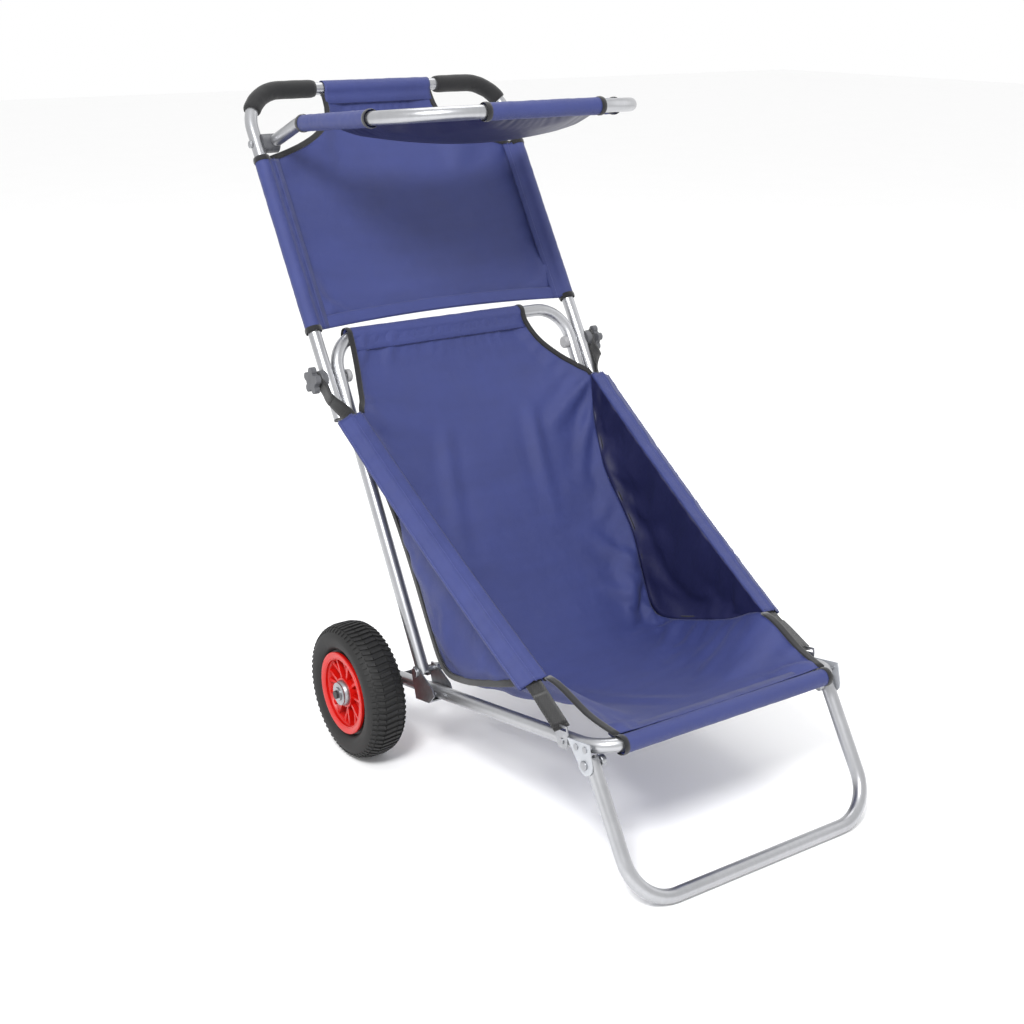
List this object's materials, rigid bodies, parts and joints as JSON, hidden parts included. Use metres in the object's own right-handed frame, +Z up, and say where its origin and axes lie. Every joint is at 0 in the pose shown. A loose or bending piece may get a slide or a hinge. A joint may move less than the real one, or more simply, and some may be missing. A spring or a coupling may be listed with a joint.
{
  "type": "beach cart",
  "caption": "Folding two-wheeled beach cart with a fabric lounger seat, push handle and tilting sun canopy.",
  "frame": {"origin": "middle of the footprint at floor level", "axes": "+X across the cart to the right seen from the front of travel behind the handle, +Y towards the handle at the back, +Z up"},
  "size_m": [0.616, 0.965, 0.9277],
  "materials": {
    "frame_tube": "smooth silver-grey paint on round steel tube",
    "zinc": "zinc plated, softly reflective",
    "grey_plate": "light grey satin paint",
    "black_plastic": "moulded, fine grain",
    "grey_plastic": "dark grey moulded, fine grain",
    "brass_insert": "turned",
    "navy_cloth": "woven polyester, navy blue, slight sheen",
    "navy_webbing": "flat woven webbing",
    "foam_grip": "closed-cell foam, matte",
    "tyre": "black rubber with block tread",
    "black_rubber": "smooth black rubber",
    "red_rim": "moulded red plastic, satin gloss",
    "bearing_steel": "ground steel"
  },
  "bodies": {
    "base_frame": {"base_tube": "frame_tube", "base_plugs": "black_plastic", "axle": "zinc", "axle_spacers": "zinc", "axle_clips": "zinc", "hinge_bracket_left": "zinc", "hinge_bracket_right": "zinc", "bracket_rivets": "zinc", "hinge_bolts": "zinc", "hinge_nuts": "zinc", "leg_plate_left": "grey_plate", "leg_plate_right": "grey_plate", "plate_rivets": "zinc", "leg_bolts": "zinc", "leg_nuts": "black_plastic", "strap_hook_left": "zinc", "strap_hook_right": "zinc", "hook_rivets": "zinc", "seat_sling": "navy_cloth", "strap_left": "navy_webbing", "strap_right": "navy_webbing", "side_panel_left": "navy_cloth", "side_panel_right": "navy_cloth"},
    "front_leg": {"leg_tube": "frame_tube"},
    "back_frame": {"back_tube": "frame_tube", "clamp_bolts": "zinc", "bolt_cap_left": "black_plastic", "bolt_cap_right": "black_plastic", "back_sling": "navy_cloth"},
    "handle_frame": {"handle_tube": "frame_tube", "handle_plugs": "black_plastic", "grip_left": "foam_grip", "grip_right": "foam_grip", "saddle_left": "grey_plastic", "saddle_right": "grey_plastic", "back_panel": "navy_cloth", "canopy_block_left": "black_plastic", "canopy_block_right": "black_plastic", "canopy_bolts": "zinc"},
    "canopy": {"canopy_tube": "frame_tube", "canopy_joint_left": "black_plastic", "canopy_joint_right": "black_plastic", "canopy_cloth": "navy_cloth"},
    "knob_left": {"star_knob_left": "grey_plastic", "knob_insert_left": "brass_insert"},
    "knob_right": {"star_knob_right": "grey_plastic", "knob_insert_right": "brass_insert"},
    "wheel_left": {"tyre_left": "tyre", "inner_tube_left": "black_rubber", "rim_left": "red_rim", "valve_left": "black_rubber", "hub_left": "zinc", "bearings_left": "bearing_steel"},
    "wheel_right": {"tyre_right": "tyre", "inner_tube_right": "black_rubber", "rim_right": "red_rim", "valve_right": "black_rubber", "hub_right": "zinc", "bearings_right": "bearing_steel"}
  },
  "joints": [
    {"name": "back_fold", "type": "hinge", "parent": "base_frame", "child": "back_frame", "pos_m": [0, 0.00963, 0.14306], "axis": [1, 0, 0], "range_deg": [0, 105], "deforming": ["side_panel_left", "side_panel_right", "strap_left", "strap_right"]},
    {"name": "leg_fold", "type": "hinge", "parent": "base_frame", "child": "front_leg", "pos_m": [0, -0.37636, 0.16476], "axis": [1, 0, 0], "range_deg": [0, 108]},
    {"name": "handle_fold", "type": "hinge", "parent": "back_frame", "child": "handle_frame", "pos_m": [0, 0.22659, 0.52653], "axis": [-1, 0, 0], "range_deg": [0, 155]},
    {"name": "canopy_tilt", "type": "hinge", "parent": "handle_frame", "child": "canopy", "pos_m": [0, 0.42319, 0.84116], "axis": [-1, 0, 0], "range_deg": [-50, 60]},
    {"name": "knob_left_turn", "type": "hinge", "parent": "back_frame", "child": "knob_left", "pos_m": [-0.2537, 0.22659, 0.52653], "axis": [1, 0, 0], "range_deg": [0, 360]},
    {"name": "knob_right_turn", "type": "hinge", "parent": "back_frame", "child": "knob_right", "pos_m": [0.2537, 0.22659, 0.52653], "axis": [1, 0, 0], "range_deg": [0, 360]},
    {"name": "wheel_left_spin", "type": "hinge", "parent": "base_frame", "child": "wheel_left", "pos_m": [-0.2705, 0.08963, 0.1], "axis": [1, 0, 0], "continuous": true},
    {"name": "wheel_right_spin", "type": "hinge", "parent": "base_frame", "child": "wheel_right", "pos_m": [0.2705, 0.08963, 0.1], "axis": [1, 0, 0], "continuous": true}
  ]
}
